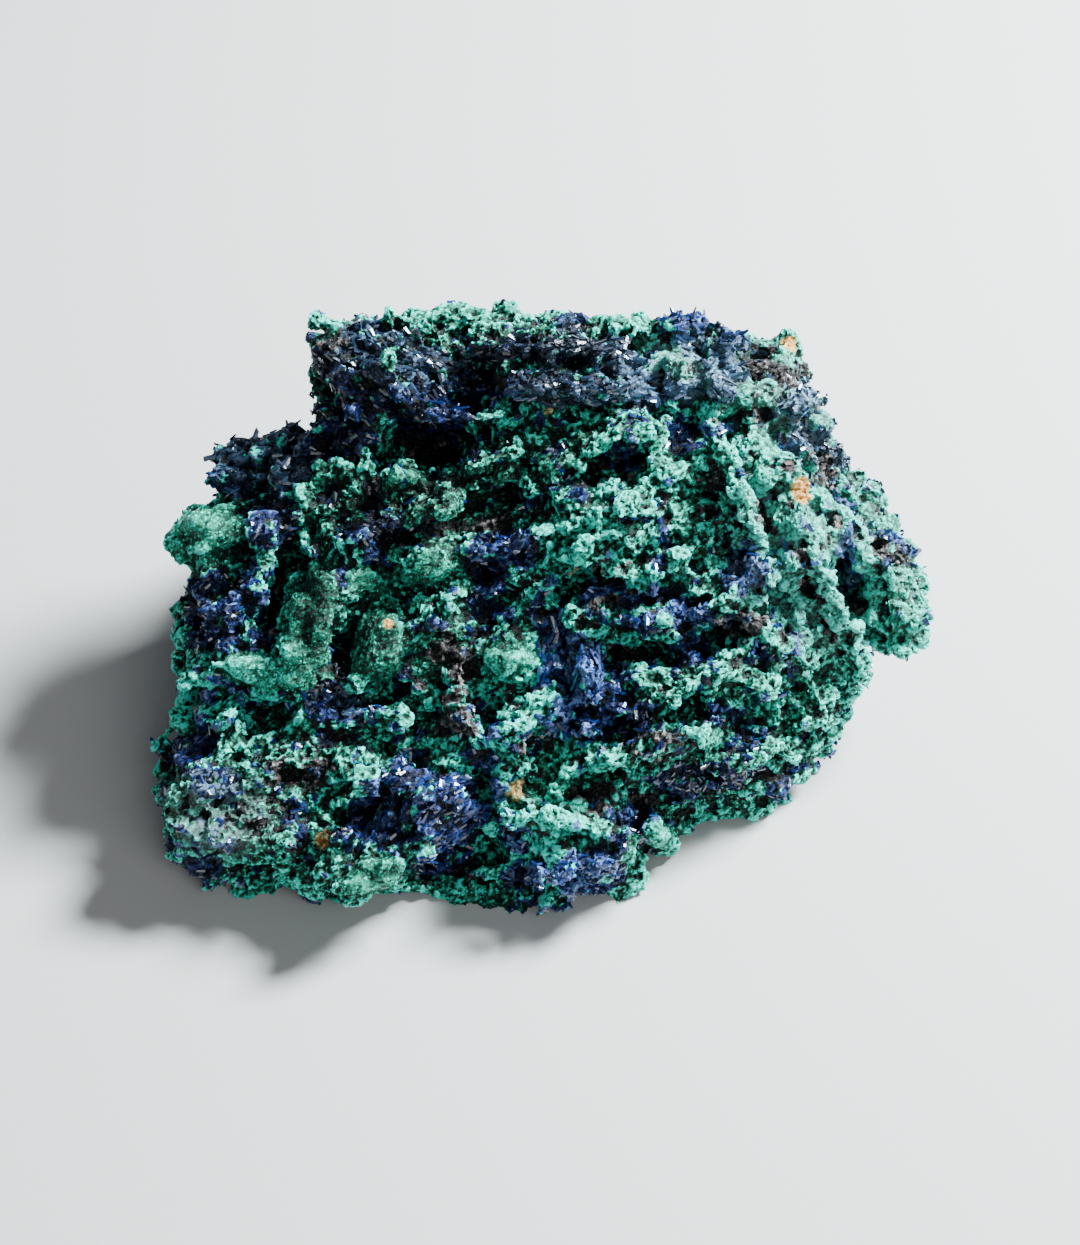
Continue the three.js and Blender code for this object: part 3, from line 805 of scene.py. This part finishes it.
# Where the surface is paled, partly by dust and partly by a painted sheen of sky light on the upper
# slopes and painted light on the flank, each patch with how much.
DUST_AND_SKY_SHEEN = {
    "flank": (850, 500, 140, 190, 0, 0.2),
    "ribs": (800, 565, 100, 75, 60, 0.14),
    "corner slope": (808, 410, 44, 30, 60, 0.3),
    "back corner": (750, 370, 80, 50, 10, 0.2),
    "left foot": (215, 815, 60, 50, 0, 0.4),
    "sky-blue slope": (672, 368, 48, 34, 20, 0.5),
}
# Painted light and shade: where the minerals are painted paler as if lit, or deeper as if in shade, each
# patch with the difference.
LIGHT_AND_SHADE_PATCHES = {
    "sky-blue slope": (675, 365, 60, 40, 20, 1.8),
    "upper right": (730, 435, 90, 45, 30, 1.3),
    "flank": (800, 565, 105, 90, 60, 2.6),
    "far flank": (800, 490, 90, 50, 40, 0.7),
    "end": (880, 620, 60, 60, 0, 0.8),
    "middle": (620, 505, 110, 70, 0, 1.1),
    "shelf": (225, 690, 60, 42, 0, 2.0),
    "strap foot": (285, 645, 45, 35, 0, 1.2),
    "centre rim": (525, 680, 75, 60, 0, 2.4),
    "nodule": (508, 656, 34, 26, 0, -2.0),
    "uprights": (575, 672, 60, 62, 0, 1.6),
    "rim": (480, 770, 60, 45, 30, 2.0),
    "front lumps": (555, 845, 75, 60, 0, 3.2),
    "ridge": (580, 755, 50, 25, 0, 2.2),
    "lip": (345, 875, 60, 25, 0, -0.2),
    "middle left": (575, 555, 50, 45, 0, 1.8),
    "band": (645, 600, 62, 28, 0, 2.0),
    "nodules": (780, 715, 40, 25, 0, 1.2),
    "under the crown": (400, 480, 120, 75, 0, -2.6),
    "flake": (402, 477, 20, 14, 0, 2.0),
    "drops": (366, 455, 22, 34, 20, 1.5),
    "crown end": (318, 372, 22, 44, 0, -2.5),
    "strap": (314, 615, 30, 60, 8, -2.6),
    "left ledge": (405, 510, 70, 45, 0, -1.6),
    "shadowed slope": (515, 475, 85, 45, -15, -1.8),
    "flap": (375, 635, 42, 45, 0, -1.6),
    "step": (455, 640, 40, 30, 0, -1.5),
    "brow": (540, 355, 100, 34, 0, -3.4),
    "crown": (400, 375, 100, 55, 0, -1.2),
    "knob": (205, 532, 50, 36, 0, 0.6),
    "arm": (265, 462, 66, 38, 10, 1.3),
    "low right": (740, 765, 70, 25, -10, -1.3),
    "left edge": (170, 790, 30, 45, 0, -1.0),
    "foot hollow": (255, 825, 40, 40, 0, -1.6),
    "hump side": (330, 840, 30, 30, 0, -0.8),
    "recess": (655, 720, 40, 30, 0, -1.3),
    "front right": (615, 840, 30, 30, 0, -1.1),
    "left side": (205, 600, 50, 30, 0, -0.6),
    "left hollow": (262, 530, 45, 45, 0, -1.3),
}
places, normals = places_of(skin), places_of(skin, "normal")
edge, stand = standing_out(skin, 4), standing_out(skin, 45)
origin = np.array([across_clump.find(place)[1] for place in places])
chance, centres = clump_chance[origin], clump_places[origin]
warp = noise_of(places, 1.4, noise.noise_vector)
_, _, _, crumb_chance, crumbs = clumps(places, CRUMB_SIZE)
even = rising(patch_depth(places, normals, SMOOTH), -0.15, 0.1)
edge *= 1 - 0.5 * even
ragged = 0.4 * centres + 0.6 * crumbs + 0.5 * warp * MM
on_front = normals @ np.array(to_camera) > FACING
drift = noise_of(ragged, 8) + 0.5 * noise_of(ragged, 3) + 0.5 * (chance - 0.5)
blue = patch_depth(ragged, normals, AZURITE) + 0.35 * (chance - 0.5) + 0.12
bare = patch_depth(ragged, normals, BARE) + 0.35 * (chance - 0.5)
green_crest, blue_crest = nearness(green_beads, places) > 0.4, nearness(blue_beads, places) > 0.4
all_green = (even > 0.5) | green_crest

# Each crumb is one mineral, by the patches on the front and by slow drifts on the hidden sides.
# A few lone clumps are blue, odd crumbs are swapped, and pits and worn crumbs show the rock.
# The first four are chances from 0 to 1, and the pit is in mm.
LONE_CLUMP, ODD_CRUMB, CRUSTED_CRUMB, WORN_CRUMB = 0.96, 0.93, 0.78, 0.14
BLUE_DRIFT, ROCK_DRIFT = -0.15, 0.2
PIT = -0.55
is_azurite = np.where(on_front, ((blue > 0) | (chance > LONE_CLUMP) | blue_crest) & ~all_green,
                      drift < BLUE_DRIFT)
is_azurite ^= (crumb_chance > ODD_CRUMB) & ~all_green
is_stone = np.where(on_front, (bare > 0.1) & ~all_green, (drift > BLUE_DRIFT) & (drift < ROCK_DRIFT))
is_stone &= (crumb_chance < CRUSTED_CRUMB) & ~blue_crest
is_stone |= (crumb_chance < WORN_CRUMB) & (stand < 0.1) & (even < 0.5) & on_front
is_stone |= ((stand < PIT) | (patch_depth(places, normals, OPEN) > 0.15)) & ~all_green
slate_and_sheen_amount = rising(patch_depth(ragged, normals, SLATE_AND_SKY_SHEEN), -0.2, 0.3)


def layered(patches, places):
    """The sum of the amounts that patches bring to each place, fading over their edges."""
    return sum(amount * rising(patch_depth(places, normals, {name: patch}), -0.2, 0.5)
               for name, (*patch, amount) in patches.items())


surface = BVHTree.FromPolygons(places.tolist(), [tuple(face.vertices) for face in skin.polygons])
ochre = np.zeros(len(places))
for across, down, radius, strength in OCHRE.values():
    point, _, _, _ = surface.ray_cast(camera.location, sight_through(across, down))
    if point:
        away = np.linalg.norm(places + 0.35 * warp * MM - np.array(point), axis=1) / (radius * MM)
        ochre = np.maximum(ochre, strength * rising(-away, -1.2, -0.7))
# Painted light and shade from the patches, and a painted highlight on the green crests.
pale = layered(LIGHT_AND_SHADE_PATCHES, ragged) + 0.5 * green_crest
# edge and stand also carry the painted highlight on edges and raised places and the painted shade in pits
# and hollows.
record_values(skin, edge=edge, stand=stand, tint=crumb_chance, azurite=is_azurite & ~is_stone,
              stone=is_stone, slate=slate_and_sheen_amount, ochre=ochre, pale=pale, dusty=layered(DUST_AND_SKY_SHEEN, ragged))

# Each mineral's colours from its deepest to its palest, with the tone that each comes at.
MALACHITE = (
    (0.15, (0.0003, 0.007, 0.004)),
    (0.34, (0.0015, 0.045, 0.025)),
    (0.52, (0.005, 0.16, 0.087)),
    (0.74, (0.01, 0.34, 0.22)),
    (1.0, (0.04, 0.82, 0.65)),
)
NAVY_AZURITE = (
    (0.22, (0.0005, 0.001, 0.005)),
    (0.5, (0.002, 0.006, 0.036)),
    (0.72, (0.01, 0.025, 0.14)),
    (0.95, (0.1, 0.18, 0.4)),
)
SLATE_AND_SHEEN_AZURITE = (
    (0.25, (0.002, 0.004, 0.011)),
    (0.5, (0.009, 0.021, 0.048)),
    (0.72, (0.032, 0.072, 0.13)),
    (0.95, (0.13, 0.23, 0.36)),
)
BROWN_ROCK = (
    (0.15, (0.001, 0.001, 0.0012)),
    (0.4, (0.012, 0.0095, 0.0095)),
    (0.65, (0.055, 0.045, 0.045)),
    (0.95, (0.26, 0.23, 0.225)),
)
RUST = (
    (0.15, (0.2, 0.07, 0.015)),
    (0.45, (0.72, 0.33, 0.06)),
    (0.75, (0.9, 0.6, 0.25)),
)
DEEP_MALACHITE = (0.001, 0.07, 0.045)
GREEN_DUST_AND_SHEEN, BLUE_DUST_AND_SKY_SHEEN = (0.13, 0.2, 0.19), (0.2, 0.32, 0.42)
FACET, COARSE_FACET = 0.16, 0.36     # in mm
minerals, place, shader = new_material("grown_minerals")
edge_light_and_pit_shade, height_light_and_hollow_shade, tint = attribute(place, "edge"), attribute(place, "stand"), attribute(place, "tint")
grain_chance, grain_tilt = facets(place, FACET)
coarse_chance, coarse_tilt = facets(place, COARSE_FACET)
glint = grain_chance.between(0.6, 0.68)
fine = grain_chance * 0.4 + coarse_chance * 0.3 + grain(place, 0.3) * 0.3
# Single pale grains, partly a painted glint of light on them.
pale_grain_glint = grain_chance.between(0.87, 0.92)

# A tone is paler on edges and on what is raised, as a painted highlight, and darker in pits and hollows,
# as painted shade. It is also paler on some crumbs and on single grains, some of them painted glints,
# paler where the patches paint light and deeper where they paint shade.
green_tone = (edge_light_and_pit_shade * 4.4 + height_light_and_hollow_shade * 0.24 + tint * 0.14 + fine * 1.0 + pale_grain_glint * 0.3 +
              attribute(place, "pale") * 0.11 - 0.18)
green = green_tone.ramp(*MALACHITE)
green = ((0.5 - fine) * 1.3).mix(green, DEEP_MALACHITE)
# The blue and the rock take the same painted highlight on edges and painted shade in hollows.
blue_tone = (edge_light_and_pit_shade * 2.0 + height_light_and_hollow_shade * 0.35 + tint * 0.15 + fine * 0.75 +
             attribute(place, "pale") * 0.09 - 0.06)
# Slate blue where the azurite is duller, and where sky light is painted on as a sheen.
blue = attribute(place, "slate").mix(blue_tone.ramp(*NAVY_AZURITE), blue_tone.ramp(*SLATE_AND_SHEEN_AZURITE))
rock_tone = (edge_light_and_pit_shade * 1.8 + height_light_and_hollow_shade * 0.4 + tint * 0.2 + fine * 0.6 +
             attribute(place, "pale") * 0.07 - 0.05)
colour = attribute(place, "azurite").between(0.3, 0.7).mix(green, blue)
# Dust and painted sky sheen: a pale grey-green on the malachite, a pale sky blue on the azurite.
dust_and_sheen_colour = attribute(place, "azurite").mix(GREEN_DUST_AND_SHEEN, BLUE_DUST_AND_SKY_SHEEN)
colour = (attribute(place, "dusty") * (fine + 0.6)).mix(colour, dust_and_sheen_colour)
colour = attribute(place, "stone").between(0.3, 0.7).mix(colour, rock_tone.ramp(*BROWN_ROCK))
colour = (attribute(place, "ochre") * (fine + 0.6)).between(0.1, 0.9).mix(colour, fine.ramp(*RUST))
colour.plug(shader, "Base Color")
shader.inputs["Specular IOR Level"].default_value = 0.3
(0.7 - 0.55 * glint).plug(shader, "Roughness")
relief = grain_tilt * 0.16 + coarse_tilt * 0.3 + grain(place, 0.12, 3, 0.7) * 0.08
bumped(relief, 1.0).plug(shader, "Normal")


def closed_half(mesh, cut, facing):
    """What lies on one side of a plane across X, closed by a flat face, and whether it is closed."""
    part = bmesh.new()
    part.from_mesh(mesh)
    everything = list(part.verts) + list(part.edges) + list(part.faces)
    outline = bmesh.ops.bisect_plane(part, geom=everything, dist=1e-9, plane_co=(cut, 0, 0),
                                     plane_no=(facing, 0, 0), clear_outer=True)
    rim = [one for one in outline["geom_cut"] if isinstance(one, bmesh.types.BMEdge)]
    bmesh.ops.triangle_fill(part, edges=rim, use_dissolve=False, normal=(facing, 0, 0))
    half = bpy.data.meshes.new("half")
    part.to_mesh(half)
    closed = not any(one.is_boundary for one in part.edges)
    part.free()
    return half, closed


# The body is cut into slices, each closed, only to keep each mesh small. A cut that would leave a
# hole is tried again a little further on. Places are in mm.
CUTS = (-20.6, -9, 3.2, 16.6)
NUDGE, TRIES = 0.017, 9
rest, slices = skin, []
for cut in CUTS:
    for attempt in range(TRIES):
        left, left_closed = closed_half(rest, (cut + NUDGE * attempt) * MM, 1)
        right, right_closed = closed_half(rest, (cut + NUDGE * attempt) * MM, -1)
        if left_closed and right_closed:
            break
    slices.append(left)
    rest = right
for number, mesh in enumerate((*slices, rest)):
    mesh.shade_flat()
    new_piece("body_" + str(number + 1), mesh, minerals)

# ---------------------------------------------------------------- azurite crystals
# Short flat blades with slanted glassy ends, a third of a millimetre to nearly two long, that grew
# last on the blue crust. They stand in all directions or lie side by side in bundles, and their
# flat faces catch the light one by one.
CRYSTALS = 9000
FLOOR_GAP, CRYSTAL_REACH = 0.8, 0.3  # how low and how far past the solid's front they root, in mm
HOLLOW = -0.25                       # no blade roots deeper than this in a hollow, in mm
BUNDLE_SPREAD = 23                   # how far blades in a bundle turn from its way, in degrees
WIDTHS, THICKNESSES = (0.25, 0.45), (0.15, 0.3)
LOOSE_LENGTHS, BUNDLED_LENGTHS = (0.35, 0.85), (0.5, 1.0)
WIDENING = 0.14                      # how much a blade widens for each mm of length
blade = bmesh.new()
bmesh.ops.create_cone(blade, cap_ends=True, segments=4, radius1=0.5, radius2=0.36, depth=1.0)
for vertex in blade.verts:
    if vertex.co.z > 0:
        vertex.co.z += 0.3 * vertex.co.x
bmesh.ops.translate(blade, verts=blade.verts, vec=(0, 0, 0.05))
bmesh.ops.triangulate(blade, faces=blade.faces)
crystal = (np.array([vertex.co for vertex in blade.verts]),
           np.array([[vertex.index for vertex in face.verts] for face in blade.faces]))
blade.free()


def lying(normal, way, lift, roll):
    """A turn that lays +Z along a direction on a surface, lifted off it and rolled by so much."""
    along = np.cross(np.cross(normal, way), normal)
    along = along / np.linalg.norm(along) + lift * normal
    along /= np.linalg.norm(along)
    side = np.cross(normal, along)
    side /= np.linalg.norm(side)
    up = np.cross(along, side)
    return np.stack((math.cos(roll) * side + math.sin(roll) * up,
                     math.cos(roll) * up - math.sin(roll) * side, along), 1)


class Heap:
    """Many small shapes gathered into one mesh."""

    def __init__(self):
        self.places, self.faces, self.count = [], [], 0

    def add(self, shape, turn, stretch, centre):
        places, faces = shape
        self.places.append((places * stretch) @ turn.T + centre)
        self.faces.append(faces + self.count)
        self.count += len(places)

    def mesh(self, name):
        made = bpy.data.meshes.new(name)
        made.from_pydata(np.concatenate(self.places).tolist(), [], np.concatenate(self.faces).tolist())
        return made


# Where the blades lie side by side, each by the way they run in the view in degrees, how many
# times a usual length the longest are, and the patch.
BUNDLES = {
    "crown": (-42, 1.4, (400, 385, 95, 60, 20)),
    "brow": (4, 1.4, (570, 370, 110, 45, 3)),
    "far": (4, 1.3, (690, 360, 60, 40, 20)),
    "hump": (32, 1.0, (415, 815, 85, 50, -28)),
    "uprights": (84, 1.8, (568, 650, 44, 40, 0)),
    "thin": (84, 1.6, (365, 485, 40, 34, 0)),
    "arm": (14, 1.5, (265, 455, 60, 32, 10)),
}
blue_places = np.flatnonzero(is_azurite & ~is_stone & (stand > HOLLOW) &
                             (places[:, 2] > FLOOR_GAP * MM) &
                             (places[:, 1] > cad_box[0][1] - CRYSTAL_REACH * MM))
chosen = rng.choice(blue_places, CRYSTALS, replace=False)
runs, longest = np.full(len(chosen), np.nan), np.ones(len(chosen))
for name, (degrees, length, patch) in BUNDLES.items():
    inside = patch_depth(places[chosen], normals[chosen], {name: patch}) > 0
    runs[inside], longest[inside] = degrees, length
heap = Heap()
slate_and_sheen_amounts, tints, painted_lights = [], [], []
for index, run, long in zip(chosen, runs, longest):
    if np.isnan(run):
        length, way, lift = rng.uniform(*LOOSE_LENGTHS), rng.normal(size=3), rng.uniform(0.0, 0.9)
    else:
        length = rng.uniform(*BUNDLED_LENGTHS) * rng.choice((0.8, 1.0, long))
        lift = rng.uniform(-0.05, 0.35)
        way = way_in_image(run + rng.normal(0, BUNDLE_SPREAD))
    width, thickness = rng.uniform(*WIDTHS) + WIDENING * length, rng.uniform(*THICKNESSES)
    stretch = np.array((width, thickness, length)) * MM
    turn = lying(normals[index], way, lift, rng.normal(0, 0.5))
    heap.add(crystal, turn, stretch, places[index] + 0.08 * normals[index] * MM)
    slate_and_sheen_amounts += [slate_and_sheen_amount[index]] * len(crystal[0])
    tints += [rng.uniform()] * len(crystal[0])
    painted_lights += [pale[index]] * len(crystal[0])
crystals = heap.mesh("crystals")
record_values(crystals, slate=slate_and_sheen_amounts, tint=tints, pale=painted_lights)

NAVY_CRYSTAL = (
    (0.25, (0.0003, 0.001, 0.006)),
    (0.5, (0.001, 0.007, 0.045)),
    (0.75, (0.008, 0.03, 0.15)),
    (0.95, (0.08, 0.17, 0.36)),
)
SLATE_AND_SHEEN_CRYSTAL = (
    (0.25, (0.002, 0.004, 0.011)),
    (0.5, (0.009, 0.021, 0.048)),
    (0.75, (0.035, 0.078, 0.14)),
    (0.95, (0.13, 0.23, 0.36)),
)
azurite_glass, place, shader = new_material("azurite_glass")
# The crystals take the same painted light and shade as the crust under them.
tone = attribute(place, "tint") * 0.45 + grain(place, 0.8, 2) * 0.55 + attribute(place, "pale") * 0.08
blue = attribute(place, "slate").mix(tone.ramp(*NAVY_CRYSTAL), tone.ramp(*SLATE_AND_SHEEN_CRYSTAL))
blue.plug(shader, "Base Color")
shader.inputs["Roughness"].default_value = 0.2
shader.inputs["IOR"].default_value = 1.73
bumped(grain(place, 0.12, 2), 0.02).plug(shader, "Normal")
new_piece("azurite_crystals", crystals, azurite_glass)

bpy.data.objects.remove(workpiece)
